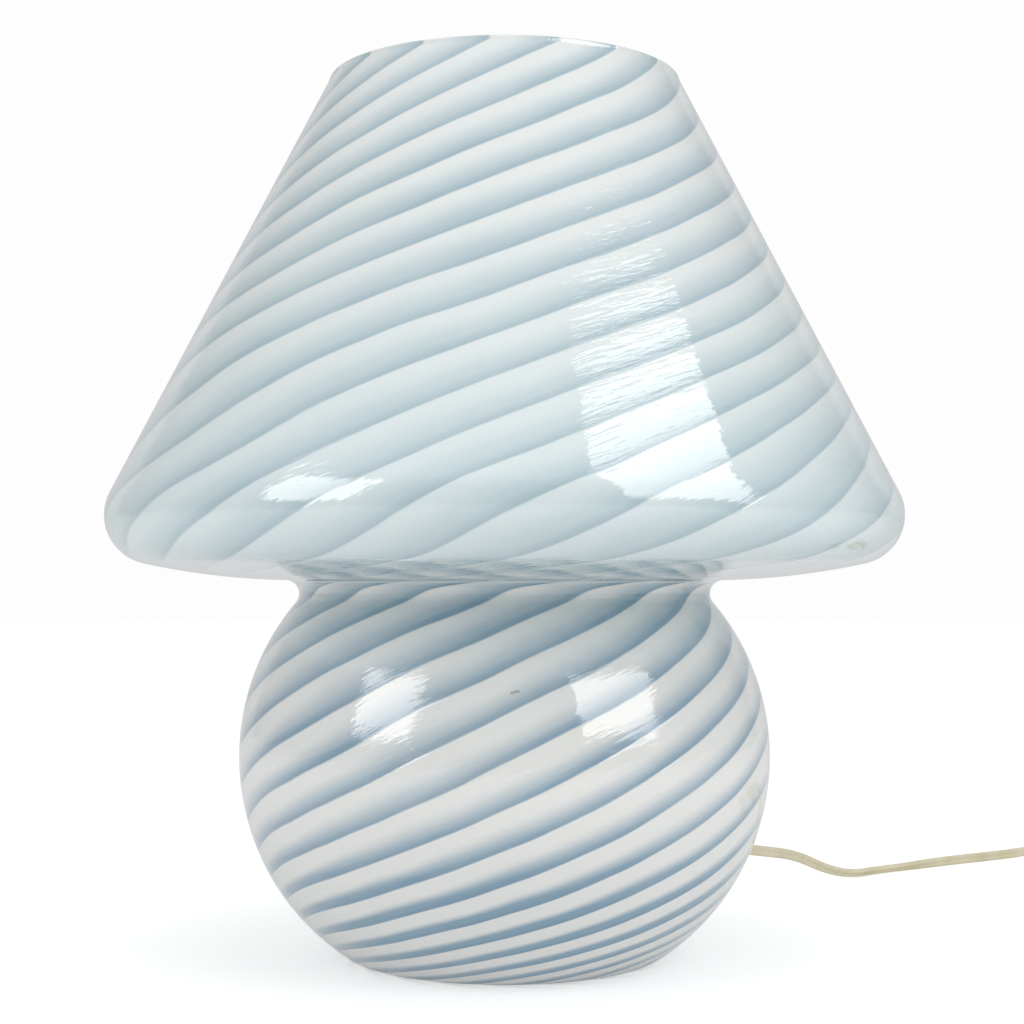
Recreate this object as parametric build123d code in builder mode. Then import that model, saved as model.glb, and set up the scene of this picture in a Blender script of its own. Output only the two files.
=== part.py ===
from build123d import *

import os
from math import asin, cos, pi, radians, sin, tan

# Mushroom table lamp: one hollow blown glass body, open at the top, with a lampholder
# on a steel bracket inside and a flat mains cord through a hole at the back.
# Millimetres, +Z up, origin on the table under the middle of the glass, cord at +Y.

os.makedirs("parts", exist_ok=True)

# ---------------------------------------------------------------- driving dimensions
# glass body; a corner is where two surfaces would meet before it is rounded
height = 400.0
rim_radius = 79.5
rim_rounding = 1.2
wall = 3.5
skirt_corner_radius = 190.5
skirt_corner_height = 186.6
skirt_rounding = 21.9
underside_arc = 325.0
neck_corner_radius = 85.7
neck_corner_height = 172.0
neck_rounding = 6.1
globe_radius = 121.0
globe_height = 92.0
foot_corner_radius = 70.0
foot_rounding = 14.0

# cord entry, square to the glass at the back
entry_height = 52.0
entry_hole_clearance = 0.4
nipple_radius = 5.0
nipple_bore_radius = 3.6
nipple_inside = 5.0
nipple_outside = 4.0
nipple_chamfer = 0.4
thread_clearance = 0.05
washer_radius = 9.0
washer_thickness = 1.5
washer_seat = 0.05
collar_radius = 9.5
collar_length = 9.0
collar_front = 1.8
collar_rounding = 1.5
relief_flange = 2.8
relief_length = 24.0
relief_root_radius = 3.9
relief_tip_radius = 3.4
locknut_flats = 14.0
locknut_thickness = 3.0
nut_gap = 0.1

# mains cord, a flat twin flex drawn as a round tube of its width
cord_radius = 2.8
cord_bore_clearance = 0.1
core_radius = 1.3
core_spacing = 2.8
corner_share = 0.45  # part of a route's shorter run that a corner's arc takes up
core_lead = 4.0  # straight runs of a cord where it leaves a piece
flex_lead = 12.0
run_lead = 18.0
piece_lead = 16.0
switch_lead = 14.0
coil_lead = 28.0

# holder bracket, one bent steel strip from the cord entry to the middle
strip_thickness = 2.0
strip_width = 20.0
strip_bend = 4.0
bracket_height = 20.0
bracket_knee = 62.0
bracket_front = 36.0
bracket_foot_drop = 7.0
bracket_foot = 14.0
tab_half_length = 11.0
pad_thickness = 2.5
pad_inset = 2.0
pad_rounding = 2.0

# lampholder with a screw shell
holder_nipple_length = 12.0
holder_base_radius = 24.0
holder_base_height = 16.0
holder_waist = 4.0
holder_cup_radius = 21.0
holder_height = 46.0
holder_rounding = 1.5
socket_floor = 12.0
shell_radius = 13.5
shell_wall = 0.5
shell_height = 26.0
shell_lip = 2.5
shell_clearance = 0.2
contact_width = 7.0
contact_length = 19.0
contact_thickness = 0.6
contact_rise = 3.0
terminal_spread = 8.5
terminal_width = 7.0
terminal_depth = 8.0
terminal_height = 9.0
terminal_clearance = 0.15
terminal_lift = 2.0
terminal_recess = 4.0
terminal_screw_radius = 1.3
terminal_screw_length = 5.0
terminal_head_radius = 2.3
terminal_head = 1.4
terminal_slot = 0.6

# bulb
bulb_length = 108.0
bulb_radius = 30.0
bulb_glass = 0.9
bulb_shoulder = 30.0  # degrees from upright
bulb_neck_radius = 13.6
bulb_neck_rounding = 25.0
bulb_cap_radius = 13.2
bulb_cap_bottom = 5.0
bulb_cap_top = 27.0
bulb_cap_wall = 0.4
bulb_tip_radius = 4.8
bulb_tip_height = 1.4
bulb_seat_gap = 0.3
stem_radius = 5.0
stem_height = 30.0
filament_radius = 14.0
filament_thickness = 1.0
filament_bow = 4.0
filament_lead = 2.0  # straight rise of a support wire out of the stem
filament_rise = 10.0

# switch on the cord
switch_length = 62.0
switch_width = 24.0
switch_height = 15.0
switch_corner = 8.0
switch_edge = 2.0
switch_split = 8.5
switch_wall = 1.8
switch_screw_spread = 20.0
switch_screw_radius = 1.4
switch_head_radius = 2.4
switch_head = 1.5
switch_post_radius = 3.4
switch_screw_clearance = 0.1
rocker_radius = 9.5
rocker_width = 9.5
rocker_tilt = 8.0
rocker_crest = 4.2
rocker_depth = 3.6
rocker_clearance = 0.3
rocker_rounding = 0.6
rocker_pivot_height = 10.4
rocker_pin_radius = 1.2
rocker_pin_length = 1.5
rocker_pin_clearance = 0.08
ear_radius = 2.8
switch_contact_gap = 5.0
switch_contact_length = 12.0
switch_contact_height = 3.0

# plug with two round pins
plug_length = 34.0
plug_width = 35.0
plug_height = 13.7
plug_shoulder = 12.0
plug_tail_width = 13.0
plug_rounding = 2.5
boot_length = 20.0
boot_root_radius = 4.8
boot_tip_radius = 3.6
pin_radius = 2.0
pin_length = 19.0
pin_spacing = 18.6
pin_root = 6.0
sleeve_length = 10.0
pin_neck_radius = 1.5

# coil of spare cord and its tie
coil_turns = 2.75
coil_inner_radius = 23.0
coil_gap = 0.6
tie_thickness = 1.0
tie_width = 8.0
tie_seat = 0.2
tie_side_clearance = 0.6
tie_rounding = 3.0

# ------------------------------------------------------------------ shared geometry
foot_corner = (foot_corner_radius, 0)
neck_corner = (neck_corner_radius, neck_corner_height)
skirt_corner = (skirt_corner_radius, skirt_corner_height)
cone_lean = (skirt_corner_radius - rim_radius) / (height - skirt_corner_height)
rim_spare = 3 * wall  # the cone is drawn past the rim and cut off level

globe_arc = ThreePointArc(foot_corner, (globe_radius, globe_height), neck_corner)
globe_centre = globe_arc.arc_center
globe_arc_radius = globe_arc.radius
entry_slope = asin((globe_centre.Y - entry_height) / globe_arc_radius)
entry_radius = globe_centre.X + globe_arc_radius * cos(entry_slope)
outward = Vector(0, cos(entry_slope), -sin(entry_slope))
along_wall = Vector(0, sin(entry_slope), cos(entry_slope))
entry = Plane(origin=(0, entry_radius, entry_height), x_dir=(1, 0, 0), z_dir=outward)

# places along the entry axis, outward positive, zero on the outer glass
entry_hole_radius = nipple_radius + entry_hole_clearance
washer_sag = washer_radius**2 / (2 * (globe_arc_radius - wall))
inner_washer_face = -(wall + washer_sag + washer_seat)
tab_face = inner_washer_face - washer_thickness
locknut_face = tab_face - strip_thickness - nut_gap
collar_base = washer_seat + washer_thickness
relief_base = collar_base + collar_length - collar_front - relief_flange
nipple_end = collar_base + nipple_outside
nipple_start = locknut_face - locknut_thickness - nipple_inside + nut_gap
relief_tip = relief_base + relief_flange + relief_length

holder_seat = bracket_height
socket_seat = holder_seat + socket_floor
bulb_base = socket_seat + shell_wall + contact_rise + contact_thickness + bulb_seat_gap
cord_bore = cord_radius + cord_bore_clearance


def corner_radii(points):
    """One arc radius for each corner of a route, so that its arc fits the shorter run."""
    radii = []
    for before, here, after in zip(points, points[1:], points[2:]):
        run_in = Vector(*here) - Vector(*before)
        run_out = Vector(*after) - Vector(*here)
        shorter = min(run_in.length, run_out.length)
        turn = radians(run_in.get_angle(run_out))
        radii.append(corner_share * shorter / tan(turn / 2))
    return radii


def report_tube(name, part, path_length, radius):
    """Print how a tube's volume compares with its section times its length."""
    ratio = part.volume / (pi * radius**2 * path_length)
    print(f"{name}: length {path_length:.1f} mm, volume ratio {ratio:.4f}")


# ------------------------------------------------------------------------ glass body
with BuildSketch() as wall_section:
    with BuildLine() as outline:
        Line((0, 0), foot_corner)
        ThreePointArc(foot_corner, (globe_radius, globe_height), neck_corner)
        RadiusArc(neck_corner, skirt_corner, -underside_arc)
        Line(skirt_corner, (rim_radius - cone_lean * rim_spare, height + rim_spare))
        for corner, rounding in (
            (foot_corner, foot_rounding),
            (neck_corner, neck_rounding),
            (skirt_corner, skirt_rounding),
        ):
            fillet(outline.vertices().sort_by_distance(corner)[0], rounding)
        offset(amount=wall, side=Side.LEFT)
    make_face()

# an arc whose centre is nearer to the axis than its radius is turned as a spline,
# which gives a surface that a hole can be cut in
with BuildPart() as glass_body:
    with BuildSketch(Plane.XZ):
        with BuildLine():
            for edge in wall_section.sketch.edges():
                wide = edge.geom_type == GeomType.CIRCLE and edge.arc_center.X < edge.radius
                add(edge.to_splines() if wide else edge)
        make_face()
    revolve(axis=Axis.Z)
    split(bisect_by=Plane.XY.offset(height), keep=Keep.BOTTOM)
    fillet(glass_body.edges().group_by(Axis.Z)[-1], rim_rounding)
    with BuildSketch(entry.offset(-2 * wall)):
        Circle(entry_hole_radius)
    extrude(amount=4 * wall, mode=Mode.SUBTRACT)
glass_body.part.label = "glass_body"
export_step(glass_body.part, "parts/glass_body.step")


# ------------------------------------------------------------------------ cord entry
with BuildPart() as outer_washer:
    with BuildSketch(entry.offset(washer_seat)):
        Circle(washer_radius)
        Circle(nipple_radius + thread_clearance, mode=Mode.SUBTRACT)
    extrude(amount=washer_thickness)
outer_washer.part.label = "outer_washer"
export_step(outer_washer.part, "parts/outer_washer.step")

with BuildPart() as inner_washer:
    with BuildSketch(entry.offset(tab_face)):
        Circle(washer_radius)
        Circle(nipple_radius + thread_clearance, mode=Mode.SUBTRACT)
    extrude(amount=washer_thickness)
inner_washer.part.label = "inner_washer"
export_step(inner_washer.part, "parts/inner_washer.step")

with BuildPart() as entry_nipple:
    with BuildSketch(entry.offset(nipple_start)):
        Circle(nipple_radius)
        Circle(nipple_bore_radius, mode=Mode.SUBTRACT)
    extrude(amount=nipple_end - nipple_start)
    chamfer(entry_nipple.edges().filter_by(GeomType.CIRCLE), nipple_chamfer)
entry_nipple.part.label = "entry_nipple"
export_step(entry_nipple.part, "parts/entry_nipple.step")

with BuildPart() as collar_nut:
    with BuildSketch(entry.offset(collar_base)):
        Circle(collar_radius)
    extrude(amount=collar_length)
    outer_face = collar_nut.faces().sort_by(Axis(entry.origin, outward))[-1]
    fillet(outer_face.edges(), collar_rounding)
    with BuildSketch(entry.offset(collar_base)):
        Circle(nipple_radius + thread_clearance)
    extrude(amount=collar_length - collar_front, mode=Mode.SUBTRACT)
    with BuildSketch(entry.offset(collar_base)):
        Circle(relief_root_radius + thread_clearance)
    extrude(amount=collar_length, mode=Mode.SUBTRACT)
collar_nut.part.label = "collar_nut"
export_step(collar_nut.part, "parts/collar_nut.step")

with BuildPart() as strain_relief:
    with BuildSketch(entry.offset(relief_base)):
        Circle(nipple_radius)
    extrude(amount=relief_flange)
    with BuildSketch(entry.offset(relief_base + relief_flange)):
        Circle(relief_root_radius)
    with BuildSketch(entry.offset(relief_tip)):
        Circle(relief_tip_radius)
    loft()
    with BuildSketch(entry.offset(relief_base)):
        Circle(cord_bore)
    extrude(amount=relief_tip - relief_base, mode=Mode.SUBTRACT)
strain_relief.part.label = "strain_relief"
export_step(strain_relief.part, "parts/strain_relief.step")

# one locknut holds the cord entry, the other holds the lampholder under the bracket
holder_nut_plane = Plane.XY.offset(bracket_height - strip_thickness - nut_gap - locknut_thickness)
with BuildPart() as locknuts:
    with BuildSketch(entry.offset(locknut_face - locknut_thickness), holder_nut_plane):
        RegularPolygon(locknut_flats / 2, 6, major_radius=False)
        Circle(nipple_radius + thread_clearance, mode=Mode.SUBTRACT)
    extrude(amount=locknut_thickness)
locknuts.part.label = "locknuts"
export_step(locknuts.part, "parts/locknuts.step")


# ---------------------------------------------------------------- bracket and its pad
# The strip is drawn by the face that looks at the glass: down the tab, in to the
# level part, then down to a foot on the floor of the globe.
tab_middle = entry.origin + outward * tab_face
tab_top = tab_middle + along_wall * tab_half_length
tab_bottom = tab_middle - along_wall * tab_half_length
level_face = bracket_height - strip_thickness
foot_face = wall + pad_thickness
foot_start = bracket_front + bracket_foot_drop

with BuildPart() as bracket:
    with BuildSketch(Plane.YZ.offset(-strip_width / 2)):
        with BuildLine():
            FilletPolyline(
                (tab_top.Y, tab_top.Z),
                (tab_bottom.Y, tab_bottom.Z),
                (bracket_knee, level_face),
                (-bracket_front, level_face),
                (-foot_start, foot_face),
                (-foot_start - bracket_foot, foot_face),
                radius=strip_bend,
            )
            offset(amount=strip_thickness, side=Side.RIGHT)
        make_face()
    extrude(amount=strip_width)
    with BuildSketch(entry.offset(tab_face + strip_thickness)):
        Circle(nipple_radius + entry_hole_clearance / 2)
    extrude(amount=-3 * strip_thickness, mode=Mode.SUBTRACT)
    with BuildSketch(Plane.XY.offset(bracket_height + strip_thickness)):
        Circle(nipple_radius + entry_hole_clearance / 2)
    extrude(amount=-3 * strip_thickness, mode=Mode.SUBTRACT)
bracket.part.label = "bracket"
export_step(bracket.part, "parts/bracket.step")

with BuildPart() as bracket_pad:
    with BuildSketch(Plane.XY.offset(wall)):
        with Locations((0, -foot_start - bracket_foot / 2)):
            RectangleRounded(strip_width - pad_inset, bracket_foot - pad_inset, pad_rounding)
    extrude(amount=pad_thickness)
bracket_pad.part.label = "bracket_pad"
export_step(bracket_pad.part, "parts/bracket_pad.step")


# ------------------------------------------------------------------------ lampholder
holder_nipple_top = holder_seat + holder_nipple_length / 2
holder_nipple_bottom = holder_nipple_top - holder_nipple_length
with BuildPart() as holder_nipple:
    with BuildSketch(Plane.XY.offset(holder_nipple_bottom)):
        Circle(nipple_radius)
        Circle(nipple_bore_radius, mode=Mode.SUBTRACT)
    extrude(amount=holder_nipple_length)
    chamfer(holder_nipple.edges().filter_by(GeomType.CIRCLE), nipple_chamfer)
holder_nipple.part.label = "holder_nipple"
export_step(holder_nipple.part, "parts/holder_nipple.step")

socket_radius = shell_radius + shell_wall + shell_clearance
terminal_face = holder_base_radius - terminal_recess
terminal_front = Plane(
    origin=(0, terminal_face, holder_seat + terminal_lift),
    x_dir=(1, 0, 0),
    z_dir=(0, -1, 0),
)
terminal_places = [(side * terminal_spread, terminal_height / 2) for side in (-1, 1)]
terminal_screw_places = [(x, terminal_height / 4) for x, y in terminal_places]
with BuildPart() as holder_body:
    with BuildSketch(Plane.XZ):
        with BuildLine():
            Polyline(
                (0, holder_seat),
                (holder_base_radius, holder_seat),
                (holder_base_radius, holder_seat + holder_base_height),
                (holder_cup_radius, holder_seat + holder_base_height + holder_waist),
                (holder_cup_radius, holder_seat + holder_height),
                (0, holder_seat + holder_height),
                close=True,
            )
        make_face()
    revolve(axis=Axis.Z)
    fillet(holder_body.edges().filter_by(GeomType.CIRCLE), holder_rounding)
    with BuildSketch(Plane.XY.offset(socket_seat)):
        Circle(socket_radius)
    extrude(amount=holder_height, mode=Mode.SUBTRACT)
    with BuildSketch(Plane.XY.offset(holder_seat)):
        Circle(nipple_radius + thread_clearance)
    extrude(amount=holder_nipple_length / 2 + nut_gap, mode=Mode.SUBTRACT)
    with BuildSketch(terminal_front.offset(-holder_base_radius)):
        with Locations(*terminal_places):
            Rectangle(
                terminal_width + 2 * terminal_clearance,
                terminal_height + 2 * terminal_clearance,
            )
    extrude(
        amount=holder_base_radius + terminal_depth + terminal_clearance, mode=Mode.SUBTRACT
    )
holder_body.part.label = "holder_body"
export_step(holder_body.part, "parts/holder_body.step")

with BuildPart() as screw_shell:
    with BuildSketch(Plane.XY.offset(socket_seat)):
        Circle(shell_radius + shell_wall)
    extrude(amount=shell_height)
    with BuildSketch(Plane.XY.offset(socket_seat + shell_wall)):
        Circle(shell_radius)
    extrude(amount=shell_height, mode=Mode.SUBTRACT)
    with BuildSketch(Plane.XY.offset(socket_seat)):
        Circle(shell_radius - shell_lip)
    extrude(amount=shell_wall, mode=Mode.SUBTRACT)
screw_shell.part.label = "screw_shell"
export_step(screw_shell.part, "parts/screw_shell.step")

# the centre contact is a springy brass strip bent up under the tip of the bulb
contact_half = contact_length / 2
with BuildPart() as centre_contact:
    with BuildSketch(Plane.XZ.offset(-contact_width / 2)):
        with BuildLine():
            FilletPolyline(
                (-contact_half, socket_seat),
                (-contact_half / 2, socket_seat),
                (-contact_half / 4, socket_seat + contact_rise + shell_wall),
                (contact_half / 4, socket_seat + contact_rise + shell_wall),
                (contact_half / 2, socket_seat),
                (contact_half, socket_seat),
                radius=contact_thickness,
            )
            offset(amount=contact_thickness, side=Side.LEFT)
        make_face()
    extrude(amount=contact_width)
centre_contact.part.label = "centre_contact"
export_step(centre_contact.part, "parts/centre_contact.step")

with BuildPart() as terminals:
    with BuildSketch(terminal_front):
        with Locations(*terminal_places):
            Rectangle(terminal_width, terminal_height)
    extrude(amount=terminal_depth)
    with BuildSketch(terminal_front):
        with Locations(*terminal_screw_places):
            Circle(terminal_screw_radius + thread_clearance)
    extrude(amount=terminal_screw_length + nut_gap, mode=Mode.SUBTRACT)
terminals.part.label = "terminals"
export_step(terminals.part, "parts/terminals.step")

with BuildPart() as terminal_screws:
    with BuildSketch(terminal_front):
        with Locations(*terminal_screw_places):
            Circle(terminal_screw_radius)
    extrude(amount=terminal_screw_length)
    with BuildSketch(terminal_front):
        with Locations(*terminal_screw_places):
            Circle(terminal_head_radius)
    extrude(amount=-terminal_head)
    with BuildSketch(terminal_front.offset(-terminal_head)):
        with Locations(*terminal_screw_places):
            Rectangle(2 * terminal_head_radius, terminal_slot)
    extrude(amount=terminal_head / 2, mode=Mode.SUBTRACT)
terminal_screws.part.label = "terminal_screws"
export_step(terminal_screws.part, "parts/terminal_screws.step")


# -------------------------------------------------------------- wiring inside the lamp
# The flex runs in through the nipple to a split point, where its two cores part and
# end on the terminals. Points are chosen by hand between those fixed ends.
flex_start = entry.origin + outward * relief_tip
flex_inner = entry.origin + outward * (nipple_start - flex_lead)
flex_route = [flex_start, flex_inner, (0, 70, 60), (0, 52, 46), (0, 43, 38)]
with BuildPart() as inner_flex:
    with BuildLine() as flex_path:
        FilletPolyline(*flex_route, radius=corner_radii(flex_route))
    with BuildSketch(Plane(origin=flex_start, z_dir=-outward)):
        Circle(cord_radius)
    sweep(path=flex_path.wire())
inner_flex.part.label = "inner_flex"
export_step(inner_flex.part, "parts/inner_flex.step")
print("inner flex radii", [round(radius, 1) for radius in corner_radii(flex_route)])
report_tube("inner flex", inner_flex.part, flex_path.wire().length, cord_radius)

# each core leaves the end of the flex, spreads sideways and runs straight into its block
flex_end = Vector(*flex_route[-1])
flex_heading = (flex_end - Vector(*flex_route[-2])).normalized()
core_end_height = holder_seat + terminal_lift + terminal_height * 3 / 4
for side, core_name in ((-1, "neutral_core"), (1, "live_core")):
    core_offset = side * core_spacing / 2
    core_route = [
        (core_offset, flex_end.Y, flex_end.Z),
        tuple(flex_end + flex_heading * core_lead + Vector(core_offset, 0, 0)),
        (side * 5.5, 33, 31),
        (side * terminal_spread, 28, core_end_height),
        (side * terminal_spread, terminal_face, core_end_height),
    ]
    with BuildPart() as core:
        with BuildLine() as core_path:
            FilletPolyline(*core_route, radius=corner_radii(core_route))
        with BuildSketch(Plane(origin=core_route[0], z_dir=flex_heading)):
            Circle(core_radius)
        sweep(path=core_path.wire())
    core.part.label = core_name
    export_step(core.part, f"parts/{core_name}.step")
    report_tube(core_name, core.part, core_path.wire().length, core_radius)


# ------------------------------------------------------------------------------ bulb
# All heights are from the tip contact. The round glass is tangent to its shoulder.
bulb_plane = Plane(origin=(0, 0, bulb_base), x_dir=(1, 0, 0), z_dir=(0, -1, 0))
bulb_ball_height = bulb_length - bulb_radius
shoulder = radians(bulb_shoulder)
shoulder_top = (bulb_radius * cos(shoulder), bulb_ball_height - bulb_radius * sin(shoulder))
shoulder_drop = (shoulder_top[0] - bulb_neck_radius) / tan(shoulder)
shoulder_bottom = (bulb_neck_radius, shoulder_top[1] - shoulder_drop)
ball_middle = pi / 4 - shoulder / 2  # halfway round from the shoulder to the top
ball_side = (
    bulb_radius * cos(ball_middle),
    bulb_ball_height + bulb_radius * sin(ball_middle),
)

with BuildPart() as bulb_glass_part:
    with BuildSketch(bulb_plane):
        with BuildLine() as bulb_line:
            Line((bulb_neck_radius, bulb_cap_top), shoulder_bottom)
            Line(shoulder_bottom, shoulder_top)
            ThreePointArc(shoulder_top, ball_side, (0, bulb_length))
            fillet(
                bulb_line.vertices().sort_by_distance(shoulder_bottom)[0], bulb_neck_rounding
            )
            offset(amount=bulb_glass, side=Side.LEFT)
        make_face()
    revolve(axis=Axis.Z)
bulb_glass_part.part.label = "bulb_glass"
export_step(bulb_glass_part.part, "parts/bulb_glass.step")

with BuildPart() as bulb_cap:
    with BuildSketch(bulb_plane):
        with BuildLine():
            Polyline(
                (bulb_cap_radius - bulb_cap_bottom / 2, bulb_cap_bottom),
                (bulb_cap_radius, bulb_cap_bottom + bulb_cap_bottom / 2),
                (bulb_cap_radius, bulb_cap_top),
            )
            offset(amount=bulb_cap_wall, side=Side.LEFT)
        make_face()
    revolve(axis=Axis.Z)
bulb_cap.part.label = "bulb_cap"
export_step(bulb_cap.part, "parts/bulb_cap.step")

with BuildPart() as bulb_insulator:
    with BuildSketch(bulb_plane):
        with BuildLine():
            Polyline(
                (0, bulb_tip_height),
                (bulb_tip_radius, bulb_tip_height),
                (bulb_cap_radius - bulb_cap_bottom / 2, bulb_cap_bottom),
                (0, bulb_cap_bottom),
                close=True,
            )
        make_face()
    revolve(axis=Axis.Z)
bulb_insulator.part.label = "bulb_insulator"
export_step(bulb_insulator.part, "parts/bulb_insulator.step")

with BuildPart() as bulb_tip:
    with BuildSketch(Plane.XY.offset(bulb_base)):
        Circle(bulb_tip_radius)
    extrude(amount=bulb_tip_height)
    fillet(bulb_tip.edges().group_by(Axis.Z)[0], bulb_tip_height / 2)
bulb_tip.part.label = "bulb_tip"
export_step(bulb_tip.part, "parts/bulb_tip.step")

stem_flange_radius = bulb_neck_radius - bulb_glass - thread_clearance
with BuildPart() as bulb_stem:
    with BuildSketch(bulb_plane):
        with BuildLine():
            Polyline(
                (0, bulb_cap_top),
                (stem_flange_radius, bulb_cap_top),
                (stem_flange_radius, bulb_cap_top + bulb_glass),
                (stem_radius, bulb_cap_top + stem_height / 2),
                (stem_radius, bulb_cap_top + stem_height),
                (0, bulb_cap_top + stem_height),
                close=True,
            )
        make_face()
    revolve(axis=Axis.Z)
bulb_stem.part.label = "bulb_stem"
export_step(bulb_stem.part, "parts/bulb_stem.step")

stem_top = bulb_base + bulb_cap_top + stem_height
lead_foot = stem_radius / 2
with BuildPart() as bulb_filament:
    with BuildLine() as filament_path:
        FilletPolyline(
            (-lead_foot, 0, stem_top),
            (-lead_foot, 0, stem_top + filament_lead),
            (-filament_radius, 0, stem_top + filament_rise),
            (0, filament_bow, stem_top + filament_rise + filament_lead),
            (filament_radius, 0, stem_top + filament_rise),
            (lead_foot, 0, stem_top + filament_lead),
            (lead_foot, 0, stem_top),
            radius=filament_thickness,
        )
    with BuildSketch(Plane.XY.offset(stem_top)):
        with Locations((-lead_foot, 0)):
            Circle(filament_thickness / 2)
    sweep(path=filament_path.wire())
bulb_filament.part.label = "bulb_filament"
export_step(bulb_filament.part, "parts/bulb_filament.step")


# ------------------------------------------------------------- where the cord lies
# Fixed places of the pieces on the cord, all resting on the table outside the lamp.
switch_middle = Vector(97, 506, 0)
switch_axis_height = switch_height / 2
coil_centre = Vector(130, 428, 0)
plug_tail = Vector(162, 352, 0)
plug_axis_height = plug_height / 2

coil_pitch = 2 * cord_radius + coil_gap
coil_step = coil_pitch / (2 * pi)
coil_low = tie_thickness + tie_seat + cord_radius
coil_high = coil_low + coil_pitch
coil_in = 2 * pi * coil_turns
coil_out = coil_in + pi
coil_end = coil_out + coil_in


def coil_state(angle):
    """Radius, height and their rates at an angle along the coil."""
    if angle <= coil_in:
        return coil_inner_radius + coil_step * (coil_in - angle), coil_low, -coil_step, 0
    if angle >= coil_out:
        return coil_inner_radius + coil_step * (angle - coil_out), coil_high, coil_step, 0
    turn = angle - coil_in
    radius = coil_inner_radius - coil_step * (turn - turn**2 / pi)
    lift = coil_low + coil_pitch * (1 - cos(turn)) / 2
    return radius, lift, coil_step * (2 * turn / pi - 1), coil_pitch * sin(turn) / 2


def coil_place(angle):
    """Point on the coil and its heading, winding clockwise seen from above."""
    radius, lift, radius_rate, lift_rate = coil_state(angle)
    ray = Vector(cos(angle), -sin(angle), 0)
    side = Vector(-sin(angle), -cos(angle), 0)
    heading = ray * radius_rate + side * radius + Vector(0, 0, lift_rate)
    return coil_centre + ray * radius + Vector(0, 0, lift), heading.normalized()


def add_biarc(start, start_heading, end, end_heading):
    """Two arcs from start to end that share a heading where they meet."""
    chord = end - start
    both = start_heading + end_heading
    bend = 1 - start_heading.dot(end_heading)
    reach = chord.dot(both)
    root = (reach**2 + 2 * bend * chord.dot(chord)) ** 0.5
    arm = (root - reach) / (2 * bend)
    near = start + start_heading * arm
    far = end - end_heading * arm
    joint = (near + far) * 0.5
    TangentArc(start, joint, tangent=start_heading)
    TangentArc(joint, end, tangent=(far - near).normalized())


quarter_turns = round(coil_end / (pi / 2))
coil_places = [coil_place(quarter * pi / 2) for quarter in range(quarter_turns + 1)]
coil_first, first_heading = coil_places[0]
coil_last, last_heading = coil_places[-1]
coil_start = coil_first - first_heading * 2 * cord_radius
coil_finish = coil_last + last_heading * 2 * cord_radius
with BuildPart() as cord_coil:
    with BuildLine() as coil_path:
        Line(coil_start, coil_first)
        for (here, heading), (there, next_heading) in zip(coil_places, coil_places[1:]):
            add_biarc(here, heading, there, next_heading)
        Line(coil_last, coil_finish)
    with BuildSketch(Plane(origin=coil_start, z_dir=first_heading)):
        Circle(cord_radius)
    sweep(path=coil_path.wire())
cord_coil.part.label = "cord_coil"
export_step(cord_coil.part, "parts/cord_coil.step")
coil_length = coil_path.wire().length
report_tube("cord coil", cord_coil.part, coil_length, cord_radius)

# least gap of the coil to itself, between points half a turn or more apart
gap_steps = 600
gap_points = [coil_place(coil_end * step / gap_steps)[0] for step in range(gap_steps + 1)]
half_turn_steps = round(gap_steps * pi / coil_end)
least_gap = min(
    (here - there).length - 2 * cord_radius
    for index, here in enumerate(gap_points)
    for there in gap_points[index + half_turn_steps :]
)
print(f"cord coil: least gap to itself {least_gap:.2f} mm")

tie_angles = [pi + 2 * pi * turn for turn in range(int((coil_in - pi) / (2 * pi)) + 1)]
tie_outer_side = coil_state(tie_angles[0])[0] + cord_radius + tie_side_clearance
tie_inner_side = coil_state(tie_angles[-1])[0] - cord_radius - tie_side_clearance
tie_hollow_width = tie_outer_side - tie_inner_side
tie_hollow_height = coil_high + cord_radius + tie_seat - tie_thickness
with BuildPart() as coil_tie:
    with BuildSketch(Plane.XZ.offset(-coil_centre.Y)):
        with Locations(
            (
                coil_centre.X - (tie_outer_side + tie_inner_side) / 2,
                tie_thickness + tie_hollow_height / 2,
            )
        ):
            RectangleRounded(
                tie_hollow_width + 2 * tie_thickness,
                tie_hollow_height + 2 * tie_thickness,
                tie_rounding + tie_thickness,
            )
            RectangleRounded(
                tie_hollow_width, tie_hollow_height, tie_rounding, mode=Mode.SUBTRACT
            )
    extrude(amount=tie_width / 2, both=True)
coil_tie.part.label = "coil_tie"
export_step(coil_tie.part, "parts/coil_tie.step")


# ---------------------------------------------------------------- free stretches
# Points chosen by hand: out of the strain relief, down to the table, along it to the
# switch, from the switch to the coil, and from the coil to the plug.
switch_start = switch_middle + Vector(-switch_length / 2, 0, switch_axis_height)
switch_finish = switch_middle + Vector(switch_length / 2, 0, switch_axis_height)
plug_start = plug_tail + Vector(0, boot_length, plug_axis_height)
cord_run_route = [
    tuple(flex_start),
    tuple(flex_start + outward * run_lead),
    (-2, 194, 27.6),
    (-5, 230, 21.5),
    (-9, 262, 10.5),
    (-12, 292, 3.6),
    (-13, 322, cord_radius),
    (-7, 352, cord_radius),
    (-1, 388, cord_radius),
    (9, 430, cord_radius),
    (11, 460, cord_radius),
    (20, 484, cord_radius),
    (36, 500, 5.0),
    tuple(switch_start - Vector(switch_lead, 0, 0)),
    tuple(switch_start),
]
cord_link_route = [
    tuple(switch_finish),
    tuple(switch_finish + Vector(piece_lead, 0, 0)),
    (161, 500, 6.2),
    (169.5, 484, 4.8),
    tuple(coil_start - first_heading * coil_lead),
    tuple(coil_start),
]
cord_tail_route = [
    tuple(coil_finish),
    tuple(coil_finish + last_heading * piece_lead),
    tuple(plug_start + Vector(0, piece_lead, 0)),
    tuple(plug_start),
]
cord_length = coil_length
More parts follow.
